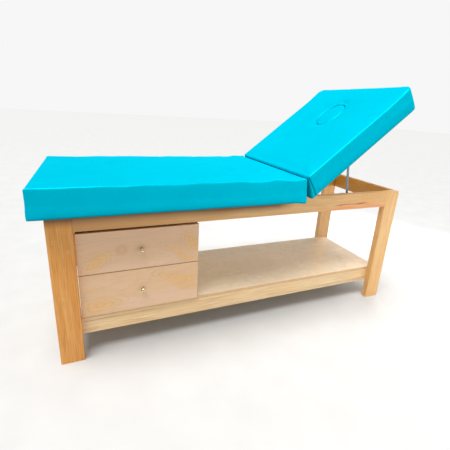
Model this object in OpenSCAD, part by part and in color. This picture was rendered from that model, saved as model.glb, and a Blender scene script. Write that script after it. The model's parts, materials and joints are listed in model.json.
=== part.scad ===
// Wooden treatment couch: a fixed foot pad, a lifting backrest with a face hole and its
// plug, a lower shelf and two drawers. Millimetres. +X points to the head end, -Y to the
// drawer side, +Z up. The origin is on the floor under the middle of the couch.

/* [Frame] */
// Length over the legs
frame_l = 1700; // [1600:10:1800]
// Width over the legs
frame_w = 533; // [500:1:600]
// Height of the legs, where the pads rest
frame_h = 648; // [620:1:700]
// Width of a leg plank, along the couch
leg_w = 87; // [70:1:100]
// Thickness of a leg plank, across the couch
leg_t = 32; // [30:1:40]
// Height of the aprons and upper end rails
apron_h = 82; // [80:1:100]
// Thickness of the aprons
apron_t = 28; // [24:1:28]
// Thickness of the upper end rails
end_rail_t = 30; // [24:1:32]

/* [Shelf] */
// Height of the shelf's top face
shelf_z = 187; // [150:1:220]
// Thickness of the shelf panel
shelf_t = 12; // [9:1:18]
// Height of the lower rails
lower_rail_h = 71; // [50:1:90]
// Thickness of the lower rails
lower_rail_t = 24; // [18:1:30]
// Distance from the leg ends to the shelf's ends
shelf_inset = 30; // [10:1:40]

/* [Pads] */
// Width of both pads
pad_w = 678; // [620:1:720]
// Thickness of the foot pad with its board
foot_pad_t = 102; // [80:1:110]
// Length of the foot pad
foot_pad_l = 1070; // [1060:1:1080]
// How far the foot pad overhangs the legs at the foot end
foot_overhang = 36; // [20:1:50]
// Thickness of the backrest with its board
back_pad_t = 100; // [80:1:101]
// Distance from the hinge to the backrest's head end
back_pad_reach = 700; // [695:1:720]
// Corner radius at the backrest's head end, seen from above
back_corner_r = 36; // [20:1:60]
// Thickness of the plywood boards under the pads
board_t = 18; // [12:1:20]
// Thickness of the vinyl covers
cover_t = 1.5; // [1:0.5:2]

/* [Backrest] */
// Angle of the raised backrest above flat
tilt = 38.2; // [30:0.1:39]
// Distance from the hinge to the pivot of the support bail
bail_reach = 350; // [345:1:355]
// Length of the support bail, pivot to foot
bail_l = 236; // [232:1:240]
// Diameter of the bail's steel rod
bail_d = 12; // [10:1:12]
// Angle of the raised bail below the horizontal
bail_rest = 81.7; // [80:0.1:84]

/* [Face hole] */
// Distance from the hinge to the middle of the face hole
hole_reach = 485; // [470:1:500]
// Length of the face hole
hole_l = 176; // [170:1:200]
// Width of the face hole
hole_w = 132; // [126:1:134]
// Gap round the plug
plug_gap = 0.8; // [0.5:0.1:1.5]

/* [Drawers] */
// Width of a drawer front
drawer_w = 479; // [460:1:479]
// Height of the upper drawer front
upper_front_h = 173; // [160:1:174]
// Height of the lower drawer front
lower_front_h = 184; // [170:1:184]
// Gap round the drawer fronts
front_gap = 3; // [2:0.5:3]
// Thickness of a drawer front
front_t = 16; // [14:1:18]
// Length of a drawer box behind its front
drawer_l = 420; // [380:5:430]
// Thickness of the drawer box boards
box_t = 12; // [9:1:12]
// Thickness of the drawer bottoms
bottom_t = 4; // [3:1:5]
// Thickness of the cabinet's panels
cabinet_t = 12; // [9:1:15]
// Diameter of a knob's ball
knob_d = 19.5; // [18:0.5:24]

/* [Hidden] */

$fn = 64;
eps = 0.01;

// Frame places
foot_x = foot_overhang / 2 - frame_l / 2;      // the legs' foot end
head_x = foot_x + frame_l;                     // the legs' head end
leg_in = frame_w / 2 - leg_t;                  // inner face of the legs
apron_in = frame_w / 2 - apron_t;              // inner face of the aprons
apron_z = frame_h - apron_h;                   // underside of the aprons
rail_top = shelf_z - shelf_t;                  // top of the lower rails
rail_low = rail_top - lower_rail_h;            // underside of the lower rails
shelf_a = foot_x + shelf_inset;                // the shelf's foot end
shelf_b = head_x - shelf_inset;                // the shelf's head end
joint_gap = 0.2;                               // gap round a tenon in its mortise
tenon_shoulder = 12;                           // above and below a tenon

// Tenons of the aprons and of the upper end rails
apron_tenon = [25, 10, apron_h - 2 * tenon_shoulder];
end_tenon = [12, 18, apron_h - 2 * tenon_shoulder];

// Screws from the lower rails into the legs
rail_screw_x = 22;                             // from the leg's inner edge
rail_screw_up = 18;                            // above and below the rail's middle
rail_screw_r = 2.5;
rail_screw_head_r = 5;
rail_screw_head_l = 4;
rail_screw_stop = 10;                          // wood left in front of the tip

// Foot end of the foot pad
foot_pad_x = foot_x - foot_overhang;

// Cross rails under the pads
cross_w = 88;
cross_t = 30;
leaf_drop = 4.5;                               // clearance for the hinge leaves
cross_hinge_x = 130;
cross_middle_x = -395;

// Hinge line of the backrest
hinge_x = 224.5;
hinge_z = frame_h + 0.5;
back_start = 15;                               // the backrest's lower edge, from the hinge
back_squeeze = 36;                             // how far its end leans back at the top
back_slant = atan(back_squeeze / back_pad_t);
board_setback = 9;                             // from the lower edge to the board
board_corner = 30;                             // board corners cut off at the hinge end

// Butt hinges
hinge_ys = [-190, 0, 190];
leaf_l = 76;
leaf_w = 58;
leaf_t = 2.5;
knuckle_r = 5;
pin_r = 2.5;
pin_clear = 0.05;
leaf_sink = 2;                                 // fixed leaves below the legs' tops
knuckle_gap = 0.4;
moving_knuckle_l = leaf_l / 3;
screw_r = 2;
screw_head_r = 4;
screw_l = 14;
screw_clear = 0.1;
leaf_screws = [[28, -26], [28, 26], [48, 0]];

// Support bail and its brackets
rod_r = bail_d / 2;
bail_y = 226;
bail_bend = 12;
foot_stub_l = 24;
bail_drop = 14;                                // pivot below the backrest's underside
ear_r = 11;
ear_t = 4;
ear_y = 196;
bracket_t = 3;
bracket_half = 24;                             // half a bracket's length
bracket_w = 26;
bracket_screws = [[-15, 178], [15, 178]];
bail_arm = sqrt(bail_reach * bail_reach + bail_drop * bail_drop);
bail_lag = atan(bail_drop / bail_reach);
bail_turn = bail_rest / tilt;                  // bail degrees per backrest degree

// Racks on the aprons
rack_t = 30;
rack_low = apron_z + 4;
rack_top = frame_h - 8;
rack_gap = 1.5;
rack_end = 24;
seat_count = 6;
seat_r = rod_r + 0.5;
seat_depth = 3.5;
rest_gap = 2;                                  // room round the bail's foot at rest

// Face hole: an oval of four arcs
oval_end_r = 50;

// Drawers
drawer_x = foot_x + leg_w + front_gap;         // foot side of the fronts
front_proud = 13.5;                            // fronts beyond the legs' inner faces
front_y = -leg_in - front_proud;               // outer face of the fronts
box_y = front_y + front_t;                     // back face of the fronts
cabinet_in = 2;                                // cabinet's sides inside the fronts' ends
cabinet_drop = 36;                             // cabinet's top below the frame's
cabinet_a = drawer_x + cabinet_in;
cabinet_b = drawer_x + drawer_w - cabinet_in;
cabinet_top = frame_h - cabinet_drop;
cabinet_sunk = 3.5;                            // cabinet behind the legs' inner faces
cabinet_y = -leg_in + cabinet_sunk;            // front edge of the cabinet
cabinet_back_t = 6;
cabinet_back_in = 6;                           // back panel inside the back legs
cabinet_back_y = leg_in - cabinet_back_in - cabinet_back_t;
lower_front_z = shelf_z + front_gap;
lower_mid_z = lower_front_z + lower_front_h / 2;
upper_front_z = lower_front_z + lower_front_h + front_gap;
upper_mid_z = upper_front_z + upper_front_h / 2;
runner_space = 13;
box_a = cabinet_a + cabinet_t + runner_space;
box_b = cabinet_b - cabinet_t - runner_space;
box_side_h = 135;
box_lift = 14;                                 // drawer bottom above the front's lower edge
runner_l = 400;
knob_stand = 15;                               // ball centre in front of the drawer
knob_base_r = 7;
knob_neck_r = 3.6;
knob_bore_r = 2;
knob_flange_t = 2;

// Drawer runners: a channel on the cabinet and a bar on the drawer
channel_half = 21;
channel_deep = 9;
channel_wall = 1.5;
channel_lip = 7;
bar_half = 18;
bar_back = 2.5;                                // bar's back face from the cabinet's panel
bar_t = 4;
bar_neck_half = 12;

// ---------------------------------------------------------------- placing and outlines

// Children in the backrest's own frame: x along it from the hinge, z out of its face
module on_backrest() {
    translate([hinge_x, 0, hinge_z]) rotate([0, -tilt, 0]) children();
}

// Box between two corners
module block(from, to) {
    translate(from) cube(to - from);
}

// Children on the drawer side when side is 0, mirrored to the back when it is 1
module on_side(side) {
    mirror([0, side > 0 ? 1 : 0, 0]) children();
}

// Oval of four arcs, grown by grow
module oval(grow = 0) {
    a = hole_l / 2;
    b = hole_w / 2;
    r = oval_end_r;
    big = (r * r - b * b - (a - r) * (a - r)) / (2 * (r - b));
    run = (a - r) * (big + grow) / (big - r);
    for (s = [-1, 1]) translate([s * (a - r), 0]) circle(r + grow, $fn = 96);
    intersection() {
        translate([0, big - b]) circle(big + grow, $fn = 180);
        translate([0, b - big]) circle(big + grow, $fn = 180);
        translate([-run, -b - grow]) square([2 * run, 2 * (b + grow)]);
    }
}

// Solid of the backrest's outer shape from height low up, its other walls moved in by inset
module backrest_block(inset = 0, low = 0) {
    slide = inset / cos(back_slant);
    w = pad_w / 2 - inset;
    e = back_pad_reach - inset;
    r = back_corner_r - inset;
    top = back_pad_t - inset;
    x_low = back_start + slide + tan(back_slant) * low;
    x_top = back_start + slide + tan(back_slant) * top;
    intersection() {
        translate([0, w, 0]) rotate([90, 0, 0]) linear_extrude(2 * w)
            polygon([[x_low, low], [e, low], [e, top], [x_top, top]]);
        translate([0, 0, low]) linear_extrude(top - low) {
            translate([0, -w]) square([e - r, 2 * w]);
            translate([0, r - w]) square([e, 2 * (w - r)]);
            for (s = [-1, 1]) translate([e - r, s * (w - r)]) circle(r);
        }
    }
}

module face_hole(grow, from, to) {
    translate([hole_reach, 0, from]) linear_extrude(to - from) oval(grow);
}

// Countersunk wood screw, head flush with z = 0, pointing down
module screw(grow = 0) {
    translate([0, 0, -screw_l - grow]) cylinder(r = screw_r + grow, h = screw_l + grow, $fn = 24);
    translate([0, 0, -2]) cylinder(r1 = screw_r + grow, r2 = screw_head_r + grow, h = 2, $fn = 24);
}

// ---------------------------------------------------------------- frame

module leg(end, side) {
    x = end < 0 ? foot_x : head_x - leg_w;
    inner_x = end < 0 ? x + leg_w : x;
    rail_x = end < 0 ? foot_x + end_rail_t / 2 : head_x - end_rail_t / 2;
    color("burlywood") on_side(side) difference() {
        translate([x, -frame_w / 2, 0]) cube([leg_w, leg_t, frame_h]);
        mortise([inner_x, -frame_w / 2 + apron_t / 2, frame_h - apron_h / 2],
            [apron_tenon.x * 2, apron_tenon.y, apron_tenon.z]);
        mortise([rail_x, -leg_in, frame_h - apron_h / 2],
            [end_tenon.x, end_tenon.y * 2, end_tenon.z]);
        lower_screws_at(screw_clear);
    }
}

module mortise(centre, size) {
    translate(centre) cube(size + [2, 2, 2] * joint_gap, center = true);
}

module apron(side) {
    l = frame_l - 2 * leg_w;
    mid = foot_x + frame_l / 2;
    color("tan") on_side(side) union() {
        translate([mid - l / 2, -frame_w / 2, apron_z]) cube([l, apron_t, apron_h]);
        translate([mid, -frame_w / 2 + apron_t / 2, frame_h - apron_h / 2])
            cube([l + 2 * apron_tenon.x, apron_tenon.y, apron_tenon.z], center = true);
    }
}

module end_rail(end) {
    x = end < 0 ? foot_x : head_x - end_rail_t;
    color("tan") union() {
        translate([x, -leg_in, apron_z]) cube([end_rail_t, 2 * leg_in, apron_h]);
        translate([x + end_rail_t / 2, 0, frame_h - apron_h / 2])
            cube([end_tenon.x, 2 * (leg_in + end_tenon.y), end_tenon.z], center = true);
    }
}

module cross_rail_hinge() {
    top = frame_h - leaf_drop;
    color("tan") difference() {
        block([cross_hinge_x, -apron_in, top - cross_t], [cross_hinge_x + cross_w, apron_in, top]);
        fixed_hinge_screws_at(screw_clear);
    }
}

module cross_rail_middle() {
    color("tan") block([cross_middle_x, -apron_in, frame_h - cross_t],
        [cross_middle_x + cross_w, apron_in, frame_h]);
}

module lower_rail_long(side) {
    color("wheat") on_side(side) difference() {
        block([shelf_a, -leg_in, rail_low], [shelf_b, lower_rail_t - leg_in, rail_top]);
        lower_screws_at(screw_clear);
    }
}

module lower_rail_end(end) {
    x = end < 0 ? shelf_a : shelf_b - lower_rail_t;
    y = leg_in - lower_rail_t;
    color("wheat") block([x, -y, rail_low], [x + lower_rail_t, y, rail_top]);
}

// Screws from inside the lower rails into the legs, on one long side
module lower_screws_at(grow = 0) {
    mid_z = (rail_low + rail_top) / 2;
    for (end = [-1, 1], up = [-rail_screw_up, rail_screw_up]) {
        x = end < 0 ? foot_x + leg_w - rail_screw_x : head_x - leg_w + rail_screw_x;
        translate([x, lower_rail_t - leg_in, mid_z + up]) rotate([-90, 0, 0])
            long_screw(grow);
    }
}

module long_screw(grow = 0) {
    l = lower_rail_t + leg_t - rail_screw_stop;
    translate([0, 0, -l - grow]) cylinder(r = rail_screw_r + grow, h = l + grow, $fn = 24);
    translate([0, 0, -rail_screw_head_l])
        cylinder(r = rail_screw_head_r + grow, h = rail_screw_head_l + eps, $fn = 24);
}

module lower_rail_screws() {
    color("silver") for (side = [-1, 1]) on_side(side) lower_screws_at();
}

module shelf_panel() {
    color("bisque") block([shelf_a, -leg_in, rail_top], [shelf_b, leg_in, shelf_z]);
}

// ---------------------------------------------------------------- racks of the bail

// Centre of the bail's foot when the backrest stands q degrees above flat
function foot_at(q) = [
    hinge_x + bail_arm * cos(q - bail_lag) + bail_l * cos(bail_turn * q),
    hinge_z + bail_arm * sin(q - bail_lag) - bail_l * sin(bail_turn * q)
];

// Unit vector out of the foot's path, on the rack's side
function foot_out(q) =
    let (d = foot_at(q - 0.2) - foot_at(q + 0.2))
    [d.y, -d.x] / norm(d);

module rack(side) {
    off = rod_r + rack_gap;
    steps = 28;
    x_a = foot_at(tilt).x - off - rack_end;
    x_b = head_x - end_rail_t - 3;
    path = [for (i = [0:steps]) let (q = tilt * (1 - i / steps)) foot_at(q) + off * foot_out(q)];
    rest = foot_at(tilt);
    rest_r = rod_r + rest_gap;
    wall = rest.x - off;
    color("peru") on_side(side) difference() {
        translate([0, -apron_in + rack_t, 0]) rotate([90, 0, 0]) linear_extrude(rack_t)
            polygon(concat([[x_a, rack_low], [x_a, rack_top], [wall, rack_top]], path,
                [[foot_at(0).x + off + 1, rack_top], [x_b, rack_top], [x_b, rack_low]]));
        for (i = [1:seat_count]) {
            q = tilt * (1 - i / (seat_count + 1.5));
            c = foot_at(q) + (off - seat_r + seat_depth) * foot_out(q);
            rack_bore(c, seat_r);
        }
        // Room for the bail at rest, and for the head leg
        rack_bore(rest, rest_r);
        translate([rest.x, 0, rest.y]) rotate([0, bail_rest - 90, 0])
            block([-off, -apron_in - 1, 0], [off, rack_t - apron_in + 1, 2 * (rack_top - rest.y)]);
        block([head_x - leg_w - joint_gap, -apron_in - 1, rack_low - 1],
            [head_x, joint_gap - leg_in, rack_top + 1]);
    }
}

// Bore across a rack at a point of its side view
module rack_bore(at, r) {
    translate([at.x, -apron_in - 1, at.y]) rotate([-90, 0, 0])
        cylinder(r = r, h = rack_t + 2, $fn = 48);
}

// ---------------------------------------------------------------- cabinet and drawers

module cabinet_side(x) {
    color("wheat") block([x, cabinet_y, shelf_z], [x + cabinet_t, cabinet_back_y, cabinet_top]);
}

module cabinet_back() {
    color("wheat") block([cabinet_a, cabinet_back_y, shelf_z],
        [cabinet_b, cabinet_back_y + cabinet_back_t, cabinet_top]);
}

module drawer_front(z, h) {
    color("bisque") difference() {
        block([drawer_x, front_y, z], [drawer_x + drawer_w, box_y, z + h]);
        translate([drawer_x + drawer_w / 2, front_y - 1, z + h / 2]) rotate([-90, 0, 0])
            cylinder(r = knob_bore_r + screw_clear, h = front_t + 2);
    }
}

module drawer_side(z, x) {
    color("wheat") block([x, box_y, z + box_lift + bottom_t],
        [x + box_t, box_y + drawer_l, z + box_lift + box_side_h]);
}

module drawer_back(z) {
    color("wheat") block([box_a + box_t, box_y + drawer_l - box_t, z + box_lift + bottom_t],
        [box_b - box_t, box_y + drawer_l, z + box_lift + box_side_h]);
}

module drawer_bottom(z) {
    color("wheat") block([box_a, box_y, z + box_lift],
        [box_b, box_y + drawer_l, z + box_lift + bottom_t]);
}

module knob(z) {
    color("darkgoldenrod") translate([drawer_x + drawer_w / 2, front_y, z]) rotate([90, 0, 0])
        difference() {
            rotate_extrude($fn = 64) {
                square([knob_base_r, knob_flange_t]);
                square([knob_neck_r, knob_stand]);
                intersection() {
                    translate([0, knob_stand]) circle(knob_d / 2);
                    square([knob_d, 2 * knob_d]);
                }
            }
            translate([0, 0, -1]) cylinder(r = knob_bore_r + screw_clear, h = knob_stand + 1);
        }
}

module knob_screw(z) {
    color("silver") translate([drawer_x + drawer_w / 2, box_y, z]) rotate([90, 0, 0]) union() {
        cylinder(r = knob_bore_r, h = front_t + knob_stand - 3);
        translate([0, 0, -2.5]) cylinder(r = 4, h = 2.5);
    }
}

// Steel channel on the cabinet's panel, opening towards the drawer
module runner_channel() {
    h = channel_half;
    w = channel_wall;
    linear_extrude(runner_l) difference() {
        translate([0, -h]) square([channel_deep, 2 * h]);
        translate([w, w - h]) square([channel_deep - 2 * w, 2 * (h - w)]);
        translate([w, channel_lip - h]) square([channel_deep, 2 * (h - channel_lip)]);
    }
}

// Slide bar on the drawer's side, running in the channel
module runner_bar() {
    linear_extrude(runner_l) {
        translate([bar_back, -bar_half]) square([bar_t, 2 * bar_half]);
        translate([bar_back, -bar_neck_half]) square([runner_space - bar_back, 2 * bar_neck_half]);
    }
}

// Both runners of a drawer: the children stand on the cabinet's panels
module runner_pair(z) {
    for (end = [0, 1])
        translate([end == 0 ? cabinet_a + cabinet_t : cabinet_b - cabinet_t, box_y + 5, z])
            mirror([end, 0, 0]) rotate([-90, 0, 0]) children();
}

module runners_fixed(z) {
    color("silver") runner_pair(z) runner_channel();
}

module runners_moving(z) {
    color("silver") runner_pair(z) runner_bar();
}

// ---------------------------------------------------------------- pads

module foot_pad_block(inset, from, to) {
    block([foot_pad_x + inset, inset - pad_w / 2, frame_h + from],
        [foot_pad_x + foot_pad_l - inset, pad_w / 2 - inset, frame_h + to]);
}

module foot_pad_board() {
    color("burlywood") foot_pad_block(cover_t, 0, board_t);
}

module foot_pad_foam() {
    color("khaki") foot_pad_block(cover_t, board_t, foot_pad_t - cover_t);
}

module foot_pad_cover() {
    color("turquoise") difference() {
        foot_pad_block(0, 0, foot_pad_t);
        foot_pad_block(cover_t, -1, foot_pad_t - cover_t);
    }
}

// Plan of the backrest's board, its corners cut off at the hinge end
module board_outline() {
    a = back_start + board_setback;
    w = pad_w / 2;
    polygon([[a, board_corner - w], [a + board_corner, -w], [back_pad_reach, -w],
        [back_pad_reach, w], [a + board_corner, w], [a, w - board_corner]]);
}

module backrest_board() {
    color("burlywood") on_backrest() difference() {
        intersection() {
            backrest_block(cover_t);
            linear_extrude(board_t) board_outline();
        }
        face_hole(cover_t, -1, board_t + 1);
        moving_hinge_screws_at(screw_clear);
        bracket_screws_at(screw_clear);
    }
}

module backrest_foam() {
    color("khaki") on_backrest() difference() {
        backrest_block(cover_t);
        block([0, -pad_w, -1], [2 * back_pad_reach, pad_w, board_t]);
        face_hole(cover_t, 0, 2 * back_pad_t);
    }
}

module backrest_cover() {
    color("turquoise") on_backrest() difference() {
        union() {
            difference() {
                backrest_block(0);
                backrest_block(cover_t, -1);
            }
            intersection() {
                face_hole(cover_t, 0, back_pad_t);
                backrest_block(0);
            }
        }
        face_hole(0, -1, back_pad_t + 1);
    }
}

module face_plug_board() {
    color("burlywood") on_backrest() face_hole(-plug_gap - cover_t, 0, board_t);
}

module face_plug_foam() {
    color("khaki") on_backrest() face_hole(-plug_gap - cover_t, board_t, back_pad_t - cover_t);
}

module face_plug_cover() {
    color("turquoise") on_backrest() difference() {
        face_hole(-plug_gap, 0, back_pad_t);
        face_hole(-plug_gap - cover_t, -1, back_pad_t - cover_t);
    }
}

// ---------------------------------------------------------------- backrest hinges

module pin_bore() {
    rotate([90, 0, 0]) cylinder(r = pin_r + pin_clear, h = leaf_l + 2, center = true, $fn = 48);
}

module fixed_hinge_screws_at(grow = 0) {
    for (y = hinge_ys, s = leaf_screws)
        translate([hinge_x - s.x, y + s.y, frame_h - leaf_sink]) screw(grow);
}

module moving_hinge_screws_at(grow = 0) {
    for (y = hinge_ys, s = leaf_screws)
        translate([s.x, y + s.y, -leaf_t]) mirror([0, 0, 1]) screw(grow);
}

module hinge_leaves_fixed() {
    k = (leaf_l - moving_knuckle_l) / 2 - knuckle_gap;
    low = frame_h - leaf_sink - leaf_t;
    color("silver") difference() {
        for (y = hinge_ys) {
            for (s = [-1, 1]) translate([hinge_x, y + s * (leaf_l - k) / 2, hinge_z])
                rotate([90, 0, 0]) cylinder(r = knuckle_r, h = k, center = true);
            block([hinge_x - leaf_w, y - leaf_l / 2, low],
                [hinge_x - knuckle_r - 1, y + leaf_l / 2, low + leaf_t]);
            for (s = [-1, 1]) translate([0, s * (leaf_l - k) / 2, 0])
                block([hinge_x - knuckle_r - 1 - eps, y - k / 2, low],
                    [hinge_x, y + k / 2, low + leaf_t]);
        }
        for (y = hinge_ys) translate([hinge_x, y, hinge_z]) pin_bore();
        fixed_hinge_screws_at(screw_clear);
    }
}

module hinge_leaves_moving() {
    k = moving_knuckle_l;
    color("silver") on_backrest() difference() {
        for (y = hinge_ys) {
            translate([0, y, 0]) rotate([90, 0, 0]) cylinder(r = knuckle_r, h = k, center = true);
            block([knuckle_r + 1, y - leaf_l / 2, -leaf_t], [leaf_w, y + leaf_l / 2, 0]);
            block([0, y - k / 2, -leaf_t], [knuckle_r + 1 + eps, y + k / 2, 0]);
        }
        for (y = hinge_ys) translate([0, y, 0]) pin_bore();
        moving_hinge_screws_at(screw_clear);
    }
}

module hinge_pins() {
    color("gray") for (y = hinge_ys) translate([hinge_x, y, hinge_z]) rotate([90, 0, 0])
        cylinder(r = pin_r, h = leaf_l, center = true, $fn = 48);
}

module hinge_screws_fixed() {
    color("gray") fixed_hinge_screws_at();
}

module hinge_screws_moving() {
    color("gray") on_backrest() moving_hinge_screws_at();
}

// ---------------------------------------------------------------- support bail

// The bail stands in its own frame: its two feet on the y axis, its legs up along z, and the
// bar that turns in the brackets across their tops
module support_bail() {
    foot = foot_at(tilt);
    bar = 2 * (bail_y - bail_bend);
    color("slategray") translate([foot.x, 0, foot.y]) rotate([0, bail_rest - 90, 0]) union() {
        translate([0, 0, bail_l]) rotate([90, 0, 0]) cylinder(r = rod_r, h = bar, center = true);
        for (side = [0, 1]) mirror([0, side, 0]) {
            rod_bend([0, -bar / 2, bail_bend], 180);
            translate([0, -bail_y, bail_bend]) cylinder(r = rod_r, h = bail_l - 2 * bail_bend);
            rod_bend([0, -bar / 2, bail_l - bail_bend], 90);
            translate([0, -bar / 2, 0]) rotate([-90, 0, 0]) cylinder(r = rod_r, h = foot_stub_l);
        }
    }
}

// Quarter bend of the rod round a centre, in the plane of the bail
module rod_bend(centre, from) {
    translate(centre) rotate([90, 0, 90]) rotate([0, 0, from]) rotate_extrude(angle = 90)
        translate([bail_bend, 0]) circle(rod_r);
}

module bracket_screws_at(grow = 0) {
    for (side = [0, 1]) mirror([0, side, 0]) for (s = bracket_screws)
        translate([bail_reach + s.x, -s.y, -bracket_t]) mirror([0, 0, 1]) screw(grow);
}

module bail_brackets() {
    color("slategray") on_backrest() difference() {
        for (side = [0, 1]) mirror([0, side, 0]) {
            block([bail_reach - bracket_half, -ear_y - ear_t, -bracket_t],
                [bail_reach + bracket_half, -ear_y + bracket_w, 0]);
            translate([bail_reach, -ear_y, -bail_drop]) rotate([90, 0, 0])
                cylinder(r = ear_r, h = ear_t);
            block([bail_reach - ear_r, -ear_y - ear_t, -bail_drop],
                [bail_reach + ear_r, -ear_y, -eps]);
        }
        translate([bail_reach, 0, -bail_drop]) rotate([90, 0, 0])
            cylinder(r = rod_r + pin_clear, h = 2 * bail_y, center = true);
        bracket_screws_at(screw_clear);
    }
}

module bail_bracket_screws() {
    color("gray") on_backrest() bracket_screws_at();
}

// ---------------------------------------------------------------- nodes

leg(-1, 0);  // leg_foot_front
leg(-1, 1);  // leg_foot_back
leg(1, 0);  // leg_head_front
leg(1, 1);  // leg_head_back
apron(0);  // apron_front
apron(1);  // apron_back
end_rail(-1);  // end_rail_foot
end_rail(1);  // end_rail_head
cross_rail_hinge();
cross_rail_middle();
lower_rail_long(0);  // lower_rail_front
lower_rail_long(1);  // lower_rail_back
lower_rail_end(-1);  // lower_rail_foot
lower_rail_end(1);  // lower_rail_head
lower_rail_screws();
shelf_panel();
rack(0);  // rack_front
rack(1);  // rack_back
cabinet_side(cabinet_a);  // cabinet_side_foot
cabinet_side(cabinet_b - cabinet_t);  // cabinet_side_head
cabinet_back();
drawer_front(upper_front_z, upper_front_h);  // upper_drawer_front
drawer_side(upper_front_z, box_a);  // upper_drawer_side_foot
drawer_side(upper_front_z, box_b - box_t);  // upper_drawer_side_head
drawer_back(upper_front_z);  // upper_drawer_back
drawer_bottom(upper_front_z);  // upper_drawer_bottom
knob(upper_mid_z);  // upper_knob
knob_screw(upper_mid_z);  // upper_knob_screw
runners_fixed(upper_mid_z);  // upper_runners_fixed
runners_moving(upper_mid_z);  // upper_runners_moving
drawer_front(lower_front_z, lower_front_h);  // lower_drawer_front
drawer_side(lower_front_z, box_a);  // lower_drawer_side_foot
drawer_side(lower_front_z, box_b - box_t);  // lower_drawer_side_head
drawer_back(lower_front_z);  // lower_drawer_back
drawer_bottom(lower_front_z);  // lower_drawer_bottom
knob(lower_mid_z);  // lower_knob
knob_screw(lower_mid_z);  // lower_knob_screw
runners_fixed(lower_mid_z);  // lower_runners_fixed
runners_moving(lower_mid_z);  // lower_runners_moving
foot_pad_board();
foot_pad_foam();
foot_pad_cover();
backrest_board();
backrest_foam();
backrest_cover();
face_plug_board();
face_plug_foam();
face_plug_cover();
hinge_leaves_fixed();
hinge_leaves_moving();
hinge_pins();
hinge_screws_fixed();
hinge_screws_moving();
support_bail();
bail_brackets();
bail_bracket_screws();
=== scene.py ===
"""Looks of the treatment couch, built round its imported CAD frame. Metres, in the CAD frame:
+X to the head end, -Y to the drawer side, +Z up."""

import json
import math
import random

import bmesh
import bpy
import numpy as np
from mathutils import Matrix, Vector, noise


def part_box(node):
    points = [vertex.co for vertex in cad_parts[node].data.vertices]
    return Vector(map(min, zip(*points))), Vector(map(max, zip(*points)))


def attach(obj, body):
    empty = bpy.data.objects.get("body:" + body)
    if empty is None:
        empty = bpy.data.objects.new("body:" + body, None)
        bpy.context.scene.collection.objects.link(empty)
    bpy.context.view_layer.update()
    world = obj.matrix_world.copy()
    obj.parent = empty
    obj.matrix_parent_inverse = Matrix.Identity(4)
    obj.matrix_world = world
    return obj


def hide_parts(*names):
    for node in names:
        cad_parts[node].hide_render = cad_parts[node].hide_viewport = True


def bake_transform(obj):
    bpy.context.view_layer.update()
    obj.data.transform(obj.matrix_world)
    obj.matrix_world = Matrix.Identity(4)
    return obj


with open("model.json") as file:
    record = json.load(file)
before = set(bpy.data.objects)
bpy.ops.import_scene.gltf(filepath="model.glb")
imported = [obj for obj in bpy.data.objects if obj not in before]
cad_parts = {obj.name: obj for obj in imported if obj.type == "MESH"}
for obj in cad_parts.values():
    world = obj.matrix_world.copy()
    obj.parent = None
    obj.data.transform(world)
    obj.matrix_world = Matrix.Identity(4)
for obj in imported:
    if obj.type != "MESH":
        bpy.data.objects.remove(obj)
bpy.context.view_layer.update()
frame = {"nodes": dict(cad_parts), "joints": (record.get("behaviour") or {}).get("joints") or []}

MM = 0.001


# ---------------------------------------------------------------- camera, light and floor

def make_camera():
    """The camera stands where the view of the couch is taken from, with the lens shifted a little."""
    data = bpy.data.cameras.new("camera")
    data.lens = 25.74
    data.sensor_width = 36.0
    data.shift_x = -0.0143
    data.shift_y = -0.0293
    camera = bpy.data.objects.new("camera", data)
    bpy.context.collection.objects.link(camera)
    right = Vector((0.9198, -0.3880, 0.0586)).normalized()
    forward = Vector((0.3866, 0.8704, -0.3048)).normalized()
    up = right.cross(forward)
    turn = Matrix((right, up, -forward)).transposed()
    camera.matrix_world = Matrix.Translation((-0.6618, -1.4750, 1.0233)) @ turn.to_4x4()
    bpy.context.scene.camera = camera


def aim(lamp, place, target):
    """Puts a lamp at place and turns it to target."""
    lamp.location = place
    lamp.rotation_euler = (Vector(target) - Vector(place)).to_track_quat("-Z", "Y").to_euler()


def add_light(name, kind, place, target, power, tint=(1, 1, 1), unseen=None, **settings):
    """unseen is "diffuse" or "glossy", for a light that leaves out one kind of reflection."""
    data = bpy.data.lights.new(name, kind)
    data.energy = power
    data.color = tint
    for key, value in settings.items():
        setattr(data, key, value)
    lamp = bpy.data.objects.new(name, data)
    bpy.context.collection.objects.link(lamp)
    if unseen:
        setattr(lamp, "visible_" + unseen, False)
    aim(lamp, place, target)


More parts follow.
